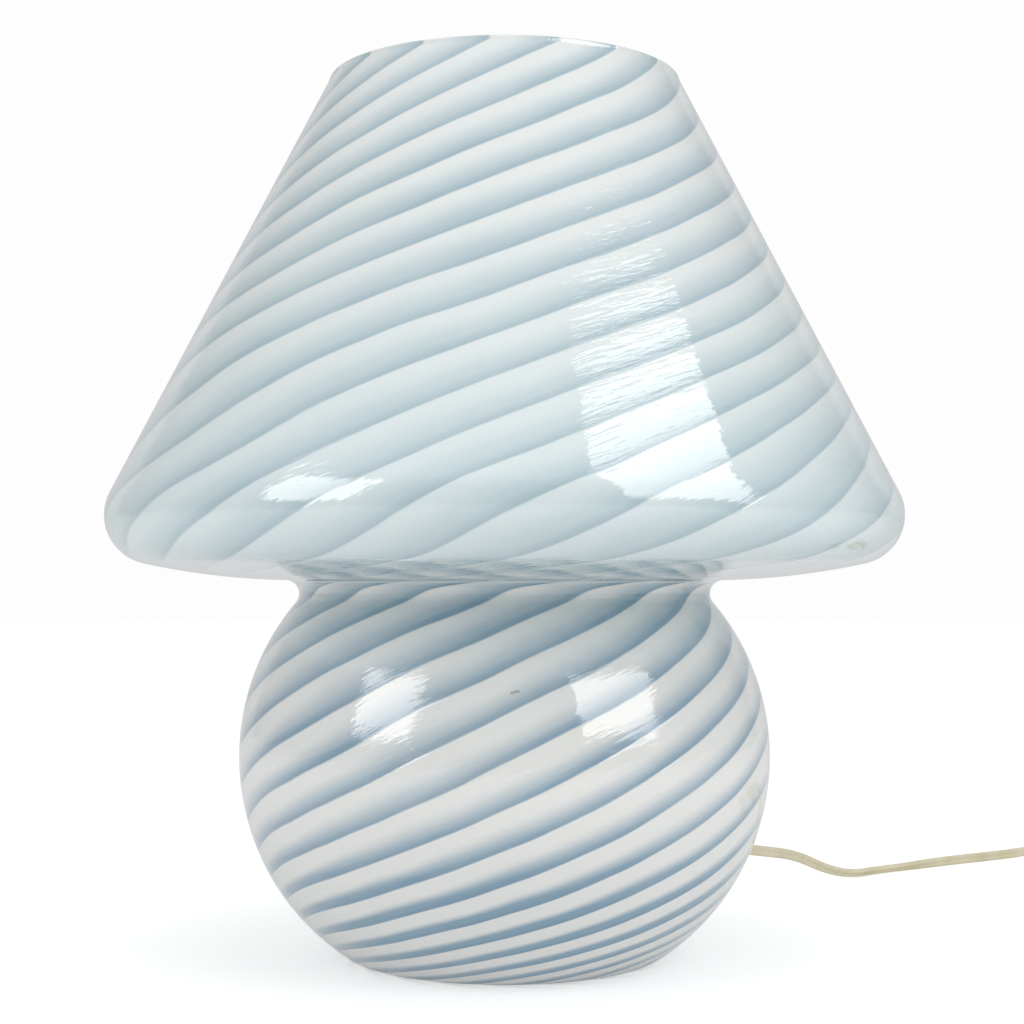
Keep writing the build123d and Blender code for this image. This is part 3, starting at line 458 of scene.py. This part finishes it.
def glass_outline():
    """Points and outward normals of the outer glass, from the middle of the foot to the rim."""
    chord = Vector(SKIRT_CORNER) - Vector(NECK_CORNER)
    rise = sqrt(UNDERSIDE_ARC**2 - chord.length_squared / 4)
    across = Vector((-chord.y, chord.x)).normalized()
    under = (Vector(SKIRT_CORNER) + Vector(NECK_CORNER)) / 2 + across * rise
    lean = atan((SKIRT_CORNER[0] - RIM_RADIUS) / (HEIGHT - SKIRT_CORNER[1]))
    cone_normal = plane_vector(lean)
    cone_up = Vector((-cone_normal.y, cone_normal.x))

    foot_drop = GLOBE_CENTRE.y - FOOT_ROUNDING
    foot_reach = sqrt((GLOBE_RADIUS - FOOT_ROUNDING) ** 2 - foot_drop**2)
    foot = Vector((GLOBE_CENTRE.x + foot_reach, FOOT_ROUNDING))
    globe_out, under_out = GLOBE_RADIUS + NECK_ROUNDING, UNDERSIDE_ARC + NECK_ROUNDING
    neck = circles_meet(GLOBE_CENTRE, globe_out, under, under_out, NECK_CORNER)
    inset = Vector(SKIRT_CORNER) - cone_normal * SKIRT_ROUNDING
    from_under = inset - under
    inner_reach = UNDERSIDE_ARC - SKIRT_ROUNDING
    along = from_under.dot(cone_up)
    half = sqrt(along**2 - from_under.length_squared + inner_reach**2)
    slide = min((-along - half, -along + half), key=abs)
    skirt = inset + cone_up * slide

    foot_end = angle_of(foot - GLOBE_CENTRE)
    neck_start = angle_of(neck - GLOBE_CENTRE)
    neck_end = angle_of(neck - under)
    skirt_start = angle_of(skirt - under)
    outline = []
    for step in range(BASE_STEPS + 1):
        outline.append((Vector((foot.x * step / BASE_STEPS, 0)), Vector((0, -1))))
    outline += arc_samples(foot, FOOT_ROUNDING, -pi / 2, foot_end, FOOT_STEPS)
    outline += arc_samples(GLOBE_CENTRE, GLOBE_RADIUS, foot_end, neck_start, GLOBE_STEPS)
    crease_start = angle_of(GLOBE_CENTRE - neck) + 2 * pi
    crease_end = angle_of(under - neck)
    outline += arc_samples(neck, NECK_ROUNDING, crease_start, crease_end, NECK_STEPS, bulge=-1)
    outline += arc_samples(under, UNDERSIDE_ARC, neck_end, skirt_start, UNDERSIDE_STEPS)
    outline += arc_samples(skirt, SKIRT_ROUNDING, skirt_start, lean, SKIRT_STEPS)
    cone_start = outline[-1][0]
    cone_length = (HEIGHT - WALL / 2 - cone_start.y) / cone_up.y
    for step in range(1, CONE_STEPS + 1):
        outline.append((cone_start + cone_up * cone_length * step / CONE_STEPS, cone_normal))
    return outline


def swirl_rate(point):
    """Degrees of twist for each radius travelled, at a point of the outline."""
    neck_radius, neck_height = NECK_CORNER
    if point.y < neck_height - 3 and point.x < GLOBE_SIDE[0] + 1:
        rate = GLOBE_RATE - GLOBE_EASING * (point.y - GLOBE_MIDDLE) / 100
        return rate + NECK_RATE * step_between(point.y, neck_height - 6, neck_height)
    if point.y < SKIRT_CORNER[1] and point.x < SKIRT_INNER[1]:
        near_neck = 1 - step_between(point.x, neck_radius + 4, neck_radius + 22)
        under = UNDERSIDE_RATE + NECK_RATE * near_neck
        return under + (SKIRT_RATE - under) * step_between(point.x, *SKIRT_INNER)
    rate = CONE_RATE - CONE_EASING * (point.y - CONE_MIDDLE) / 100
    on_cone = step_between(point.y, SKIRT_CORNER[1], SKIRT_TOP)
    return SKIRT_RATE + (rate - SKIRT_RATE) * on_cone


def swirl_twists(outline):
    """Twist in degrees at each point of the outline, from the foot up."""
    twists = [0.0]
    for (here, _), (there, _) in zip(outline, outline[1:]):
        middle = (here + there) / 2
        radius = max(middle.x, FOOT_CORNER[0] / 2)
        twists.append(twists[-1] + swirl_rate(middle) * (there - here).length / radius)
    return twists


def crowding(point):
    """How much closer than even the stripes stand, and how far across that is at its most."""
    neck = NECK_CORNER[0] + 8
    if point.x < neck and point.y < SKIRT_TOP:
        return 0.0, 0.0
    if point.y < SKIRT_CORNER[1]:
        return CROWDING * step_between(point.x, neck, SKIRT_CORNER[0] - 12), 0.0
    side = CROWDING_SIDE * step_between(point.y, *CROWDING_MOVES)
    return CROWDING * (1 - step_between(point.y, *CROWDING_FADE)), radians(side)


def band_look(point, inside):
    """What the material reads at a point of the outline: the width of a band as a share
    of the spacing, the share of it that holds before the fade, the band's strength, how
    cool the white between is, and 1 on the inner face, where the opal lining hides most of
    the blue and the paler white there is painted light, standing in for light through the glass."""
    skirt_radius, skirt_height = SKIRT_CORNER
    neck_height = NECK_CORNER[1]
    up_globe = step_between(point.y, *GLOBE_BANDS)
    up_cone = step_between(point.y, *CONE_BANDS)
    if point.x < skirt_radius - 20 and neck_height - 1 < point.y < skirt_height - 8:
        width, hold, strength, tint = 0.95, 0.0, 0.45, 0.8
    elif point.y < neck_height:
        at_foot = 1 - step_between(point.y, *FOOT_BANDS)
        at_neck = step_between(point.y, *NECK_BANDS)
        width, hold = 0.62 + 0.33 * up_globe - 0.12 * at_foot, 0.42 * at_foot
        # stronger bands low on the globe and up at the neck: painted shade near the floor and under the
        # skirt
        strength, tint = 0.8 + 0.2 * max(at_foot, at_neck), 0.05 + 0.2 * at_neck
    else:
        width, hold = 0.95 - 0.15 * up_cone, 0.1 * up_cone
        strength, tint = 0.5 + 0.14 * up_cone, 1.0 - 0.6 * up_cone
    if inside:
        # weaker blue on the inner face: partly the opal lining hiding it, partly painted light that
        # brightens the inside
        strength *= 0.25
    look = {"width": width, "hold": hold, "strength": strength, "tint": tint}
    return {**look, "inner": float(inside)}


def rim_samples(outline):
    """Fire-polished rim: a half ellipse from the outer to the inner face."""
    outer, normal = outline[-1]
    inner = outer - normal * WALL
    middle = (outer + inner) / 2
    half = (outer - inner) / 2
    up = Vector((0, HEIGHT - middle.y))
    samples = []
    for step in range(1, RIM_STEPS):
        angle = pi * step / RIM_STEPS
        samples.append(middle + half * cos(angle) + up * sin(angle))
    return samples


def glass_shell():
    """One closed skin of glass, outside, over the rim and back down inside."""
    outline = glass_outline()
    twists = swirl_twists(outline)
    rim = rim_samples(outline)
    inside = [(point - normal * WALL, normal) for point, normal in outline[::-1]]
    inside = [(point, normal) for point, normal in inside if point.x > 0.5]
    rows = [(point, twist, False) for (point, _), twist in zip(outline[1:], twists[1:])]
    rows += [(point, twists[-1], False) for point in rim]
    rows += [(point, twist, True) for (point, _), twist in zip(inside, twists[::-1])]

    vertices = []
    values = {name: [] for name in ("shift", "width", "hold", "strength", "tint", "inner")}
    for point, twist, is_inside in rows:
        look = band_look(point, is_inside)
        crowd, side = crowding(point)
        for ring in range(RINGS_AROUND):
            turn = 2 * pi * ring / RINGS_AROUND
            across = turn - radians(CAMERA_AZIMUTH)
            vertices.append((point.x * cos(turn) * MM, point.x * sin(turn) * MM, point.y * MM))
            turned = twist + SWIRL_START + CAMERA_AZIMUTH
            turned -= degrees(crowd * (sin(across - side) + sin(side)))
            for name, value in {"shift": turned * STRIPES / 360, **look}.items():
                values[name].append(value)
    poles = []
    for height, row in ((0.0, 0), (WALL, len(rows) - 1)):
        poles.append(len(vertices))
        vertices.append((0, 0, height * MM))
        for column in values.values():
            column.append(column[row * RINGS_AROUND])

    faces = []
    for row in range(len(rows) - 1):
        for ring in range(RINGS_AROUND):
            after = (ring + 1) % RINGS_AROUND
            low, high = row * RINGS_AROUND, (row + 1) * RINGS_AROUND
            faces.append((low + ring, low + after, high + after, high + ring))
    last = (len(rows) - 1) * RINGS_AROUND
    for ring in range(RINGS_AROUND):
        after = (ring + 1) % RINGS_AROUND
        faces.append((after, ring, poles[0]))
        faces.append((last + ring, last + after, poles[1]))
    shell = mesh_object("glass_shell", vertices, faces)
    for name, column in values.items():
        add_values(shell, name, column)
    return shell


def cut_entry_hole(shell):
    """The hole for the cord, square to the glass at the back."""
    bpy.ops.mesh.primitive_cylinder_add(vertices=48, radius=ENTRY_HOLE * MM, depth=6 * WALL * MM)
    cutter = bpy.context.object
    cutter.location = ENTRY_POINT * MM
    cutter.rotation_mode = "QUATERNION"
    cutter.rotation_quaternion = OUTWARD.to_track_quat("Z", "Y")
    bpy.context.view_layer.update()
    cut = shell.modifiers.new("entry", "BOOLEAN")
    cut.operation = "DIFFERENCE"
    cut.solver = "EXACT"
    cut.object = cutter
    graph = bpy.context.evaluated_depsgraph_get()
    holed = bpy.data.meshes.new_from_object(shell.evaluated_get(graph))
    shell.modifiers.clear()
    shell.data = holed
    bpy.data.objects.remove(cutter)


shell = glass_shell()
cut_entry_hole(shell)
dress(shell, "lamp", GLASS)
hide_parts("glass_body")


# -------------------------------------------------------------- threads, cap and shell
def threaded_ring(name, base, profile, thread, around=96):
    """A ring of thin sheet metal with a rolled screw thread. profile is its closed
    section, (radius, height above base) pairs in millimetres, and thread the heights
    between which the wall waves in and out."""
    rows = []
    for here, there in zip(profile, profile[1:] + profile[:1]):
        here, there = Vector(here), Vector(there)
        steps = max(1, round((there - here).length / SECTION_STEP))
        rows += [here + (there - here) * step / steps for step in range(steps)]
    low, high = thread
    vertices = []
    for row in rows:
        held = step_between(row.y, low, low + THREAD_EASE)
        held *= 1 - step_between(row.y, high - THREAD_EASE, high)
        height = base + row.y
        for place in range(around):
            turn = 2 * pi * place / around
            wave = (1 - cos(2 * pi * height / THREAD_PITCH - turn)) / 2
            reach = row.x - THREAD_DEPTH * wave * held
            vertices.append((reach * cos(turn) * MM, reach * sin(turn) * MM, height * MM))
    faces = []
    for row in range(len(rows)):
        low_row, high_row = row * around, (row + 1) % len(rows) * around
        for place in range(around):
            after = (place + 1) % around
            faces.append((low_row + place, low_row + after, high_row + after, high_row + place))
    return mesh_object(name, vertices, faces)


def add_threads():
    """The bulb's cap and the lampholder's shell with their real threads."""
    low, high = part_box("bulb_cap")
    radius, base, height = high.x / MM, low.z / MM, (high.z - low.z) / MM
    inside = radius - CAP_WALL
    profile = [(radius - CAP_SLANT, 0), (radius, CAP_SLANT), (radius, height)]
    profile += [(inside, height), (inside, CAP_SLANT), (inside - CAP_SLANT, 0.2)]
    cap = threaded_ring("bulb_cap_threaded", base, profile, (CAP_SLANT, height - 4))
    dress(cap, "bulb", NICKEL)
    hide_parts("bulb_cap")

    low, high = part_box("screw_shell")
    radius, base, height = high.x / MM, low.z / MM, (high.z - low.z) / MM
    inside, lip = radius - SHELL_WALL, radius - SHELL_WALL - SHELL_LIP
    profile = [(lip, 0), (radius, 0), (radius, height)]
    profile += [(inside, height), (inside, SHELL_WALL), (lip, SHELL_WALL)]
    shell = threaded_ring("screw_shell_threaded", base, profile, (2, height - 1))
    dress(shell, "lamp", CONTACT_BRASS)
    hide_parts("screw_shell")


add_threads()


# ------------------------------------------------------------------------------- cord
# The route's points are those of the CAD solids, in millimetres.
RELIEF_TIP = 32.75  # from the outer glass along the entry axis
FLEX_START = ENTRY_POINT + OUTWARD * RELIEF_TIP
ON_TABLE = CORD_WIDTH / 2
SWITCH_HEIGHT = 7.5
RUN_ROUTE = [
    FLEX_START,
    FLEX_START + OUTWARD * 18,
    Vector((-2, 194, 27.6)),
    Vector((-5, 230, 21.5)),
    Vector((-9, 262, 10.5)),
    Vector((-12, 292, 3.6)),
    Vector((-13, 322, ON_TABLE)),
    Vector((-7, 352, ON_TABLE)),
    Vector((-1, 388, ON_TABLE)),
    Vector((9, 430, ON_TABLE)),
    Vector((11, 460, ON_TABLE)),
    Vector((20, 484, ON_TABLE)),
    Vector((36, 500, 5.0)),
    Vector((52, 506, SWITCH_HEIGHT)),
    Vector((66, 506, SWITCH_HEIGHT)),
]
LINK_ROUTE = [
    Vector((128, 506, SWITCH_HEIGHT)),
    Vector((144, 506, SWITCH_HEIGHT)),
    Vector((161, 500, 6.2)),
    Vector((169.5, 484, 4.8)),
    Vector((170.9, 461.6, 4.0)),
]
TAIL_ROUTE = [
    Vector((170.6, 406.4, 10.2)),
    Vector((162, 388, 6.85)),
    Vector((162, 372, 6.85)),
]
COIL_CENTRE = Vector((130, 428, 0))
COIL_TURNS = 2.75
COIL_INNER = 23.0
COIL_PITCH = 6.2
COIL_LOW = 4.0
COIL_POINTS = 16  # control points for each turn


def coil_route():
    """In to the middle on the lower layer, over, and out again on the upper one."""
    inward = 2 * pi * COIL_TURNS
    outward = inward + pi
    step = COIL_PITCH / (2 * pi)
    count = round((outward + inward) / (2 * pi) * COIL_POINTS)
    points = []
    for index in range(count + 1):
        angle = (outward + inward) * index / count
        if angle <= inward:
            radius, lift = COIL_INNER + step * (inward - angle), 0.0
        elif angle >= outward:
            radius, lift = COIL_INNER + step * (angle - outward), 1.0
        else:
            turn = angle - inward
            radius, lift = COIL_INNER - step * (turn - turn**2 / pi), (1 - cos(turn)) / 2
        place = Vector((cos(angle), -sin(angle), 0)) * radius
        points.append(COIL_CENTRE + place + Vector((0, 0, COIL_LOW + COIL_PITCH * lift)))
    return points


def smooth_line(name, route):
    """Points along one NURBS curve through the route's control points, in metres."""
    curve = bpy.data.curves.new(name, "CURVE")
    curve.dimensions = "3D"
    spline = curve.splines.new("NURBS")
    spline.points.add(len(route) - 1)
    for point, place in zip(spline.points, route):
        point.co = (*(place * MM), 1.0)
    spline.order_u = 3
    spline.use_endpoint_u = True
    spline.resolution_u = 8
    holder = bpy.data.objects.new(name, curve)
    bpy.context.collection.objects.link(holder)
    mesh = bpy.data.meshes.new_from_object(holder)
    line = [vertex.co.copy() for vertex in mesh.vertices]
    bpy.data.objects.remove(holder)
    return line


def twin_section():
    """Outline of the twin flex: two round strands and the web between them."""
    offset = CORD_WIDTH / 2 - STRAND_RADIUS
    groove_angle = acos(-0.6)
    section = []
    for side in (1, -1):
        for index in range(LOBE_POINTS):
            angle = groove_angle * (2 * index / (LOBE_POINTS - 1) - 1)
            x = side * (offset + STRAND_RADIUS * cos(angle))
            section.append((x, side * STRAND_RADIUS * sin(angle)))
        section.append((0.0, side * GROOVE_HALF))
    return section


def twin_flex(name, line, lean_at):
    """The flex as a mesh along a line. lean_at gives its lean from flat at a share of
    the length, in degrees. Returns the piece and the line that it follows."""
    section = twin_section()
    lengths = [0.0]
    for here, there in zip(line, line[1:]):
        lengths.append(lengths[-1] + (there - here).length)
    vertices, followed = [], []
    for index, place in enumerate(line):
        before, after = line[max(index - 1, 0)], line[min(index + 1, len(line) - 1)]
        heading = (after - before).normalized()
        level = heading.cross(Vector((0, 0, 1))).normalized()
        upright = level.cross(heading)
        lean = radians(lean_at(lengths[index] / lengths[-1]))
        wide = level * cos(lean) + upright * sin(lean)
        thin = heading.cross(wide)
        half = (CORD_WIDTH / 2 - STRAND_RADIUS) * abs(sin(lean)) + STRAND_RADIUS
        middle = place - Vector((0, 0, (CORD_WIDTH / 2 - half) * MM))
        followed.append(middle)
        for x, y in section:
            vertices.append(middle + (wide * x + thin * y) * MM)
    sides = len(section)
    faces = []
    for row in range(len(line) - 1):
        for side in range(sides):
            after = (side + 1) % sides
            low, high = row * sides, (row + 1) * sides
            faces.append((low + side, low + after, high + after, high + side))
    faces.append(tuple(range(sides))[::-1])
    faces.append(tuple(range((len(line) - 1) * sides, len(line) * sides)))
    piece = mesh_object(name, vertices, faces)
    dress(piece, "lamp", FLEX)
    return piece, followed


def run_lean(share):
    """On edge out of the lamp, easing over on the table and back on edge at the switch."""
    ease = step_between(share, *LEAN_EASES) * (1 - step_between(share, *LEAN_RETURNS))
    return EDGE_LEAN + (TABLE_LEAN - EDGE_LEAN) * ease


def edge_lean(_share):
    """On edge all the way, as a flat flex winds."""
    return EDGE_LEAN


def add_cords():
    """The flex to the switch, and on through the coil to the plug."""
    run, run_line = twin_flex("flex_to_switch", smooth_line("run_line", RUN_ROUTE), run_lean)
    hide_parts("cord_run")
    rest_route = LINK_ROUTE + coil_route() + TAIL_ROUTE
    rest, rest_line = twin_flex("flex_to_plug", smooth_line("rest_line", rest_route), edge_lean)
    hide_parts("cord_link", "cord_coil", "cord_tail")


add_cords()


# ------------------------------------------------------------------------------ studio
def direction(across, elevation):
    """Unit vector from the lamp towards a place across from the camera, in degrees."""
    turn = radians(CAMERA_AZIMUTH + across)
    level = cos(radians(elevation))
    return Vector((cos(turn) * level, sin(turn) * level, sin(radians(elevation))))


def soft_box(name, across, elevation, width, height, roll, radiance):
    """A rectangular soft light that spans width by height degrees, seen from the lamp."""
    light = bpy.data.lights.new(name, "AREA")
    light.shape = "RECTANGLE"
    light.size = 2 * LIGHT_DISTANCE * sin(radians(width / 2))
    light.size_y = 2 * LIGHT_DISTANCE * sin(radians(height / 2))
    light.energy = radiance * pi * light.size * light.size_y
    light.color = (1.0, 0.99, 0.97)
    made = bpy.data.objects.new(name, light)
    bpy.context.collection.objects.link(made)
    aim = Vector(LIGHT_AIM)
    made.location = aim + direction(across, elevation) * LIGHT_DISTANCE
    made.rotation_mode = "QUATERNION"
    turned = Quaternion((0, 0, 1), radians(roll))
    made.rotation_quaternion = (aim - made.location).to_track_quat("-Z", "Y") @ turned


def add_world():
    """Bright paper behind the lamp, a soft ceiling and a dimmer room on the camera's side.
    The camera itself sees plain white behind everything."""
    world = bpy.data.worlds.new("studio")
    bpy.context.scene.world = world
    world.use_nodes = True
    tree = world.node_tree
    tree.nodes.clear()

    def add(kind, **settings):
        node = tree.nodes.new(kind)
        for key, value in settings.items():
            setattr(node, key, value)
        return node

    def ramp(value, low, high, start, end):
        node = add("ShaderNodeMapRange", interpolation_type="SMOOTHSTEP")
        tree.links.new(value, node.inputs["Value"])
        for name, setting in zip(("From Min", "From Max", "To Min", "To Max"), (low, high, start, end)):
            node.inputs[name].default_value = setting
        return node.outputs["Result"]

    place = add("ShaderNodeTexCoord").outputs["Generated"]
    behind = add("ShaderNodeVectorMath", operation="DOT_PRODUCT")
    tree.links.new(place, behind.inputs[0])
    behind.inputs[1].default_value = -direction(0, 0)
    paper = ramp(behind.outputs["Value"], 0.70, 0.78, 0.45, 0.62)
    up = add("ShaderNodeSeparateXYZ")
    tree.links.new(place, up.inputs[0])
    ceiling = ramp(up.outputs["Z"], 0.5, 0.95, 0.0, 0.4)
    both = add("ShaderNodeMath", operation="ADD")
    tree.links.new(paper, both.inputs[0])
    tree.links.new(ceiling, both.inputs[1])
    light = add("ShaderNodeBackground")
    tree.links.new(both.outputs[0], light.inputs["Strength"])
    light.inputs["Color"].default_value = (0.97, 0.985, 1.0, 1.0)
    seen = add("ShaderNodeBackground")
    seen.inputs["Color"].default_value = (0.985, 0.985, 0.985, 1.0)
    seen.inputs["Strength"].default_value = 1.0
    path = add("ShaderNodeLightPath")
    choose = add("ShaderNodeMixShader")
    tree.links.new(path.outputs["Is Camera Ray"], choose.inputs["Fac"])
    tree.links.new(light.outputs[0], choose.inputs[1])
    tree.links.new(seen.outputs[0], choose.inputs[2])
    out = add("ShaderNodeOutputWorld")
    tree.links.new(choose.outputs[0], out.inputs["Surface"])


def add_floor():
    """A pale floor that runs out of sight, and glows more to the camera than it lights."""
    half = 6.0
    corners = [(-half, -half, 0), (half, -half, 0), (half, half, 0), (-half, half, 0)]
    floor = mesh_object("floor", corners, [(0, 1, 2, 3)])
    n = Nodes("floor_paper")
    tone = n.mix(n.noise(3), (0.69, 0.69, 0.69, 1), (0.67, 0.67, 0.67, 1))
    reach = n.add("ShaderNodeVectorMath", operation="LENGTH")
    n.join(n.place, reach.inputs[0])
    # the camera's glow fades towards the lamp's axis: a painted shadow round its foot
    glow = n.between(reach.outputs["Value"], 0.1, 0.24, 0.48, 0.57, smooth=True)
    seen = n.add("ShaderNodeLightPath").outputs["Is Camera Ray"]
    glow = n.between(seen, 0.0, 1.0, 0.18, glow)
    white = (1, 1, 1, 1)
    paint(floor, n.set(Base_Color=tone, Roughness=0.9, Emission_Color=white, Emission_Strength=glow))


def add_camera():
    """The photograph's camera: level, at the neck's height, with its frame shifted."""
    camera = bpy.data.cameras.new("camera")
    made = bpy.data.objects.new("camera", camera)
    bpy.context.collection.objects.link(made)
    made.location = direction(0, 0) * CAMERA_DISTANCE + Vector((0, 0, CAMERA_HEIGHT))
    made.rotation_euler = (radians(90), 0, radians(90 + CAMERA_AZIMUTH))
    camera.sensor_width = SENSOR
    camera.lens = FOCAL_PIXELS / IMAGE_SIZE * SENSOR
    camera.shift_x = (IMAGE_SIZE / 2 - LAMP_COLUMN) / IMAGE_SIZE
    camera.shift_y = (HORIZON_ROW - IMAGE_SIZE / 2) / IMAGE_SIZE
    camera.clip_start = 0.01
    camera.clip_end = 50.0
    bpy.context.scene.camera = made


soft_box("light_right", across=52, elevation=31.5, width=36, height=49, roll=-9, radiance=2.1)
soft_box("light_left", across=-52, elevation=26, width=27, height=37, roll=0, radiance=2.3)
add_world()
add_floor()
add_camera()
bpy.context.scene.view_settings.view_transform = "Standard"
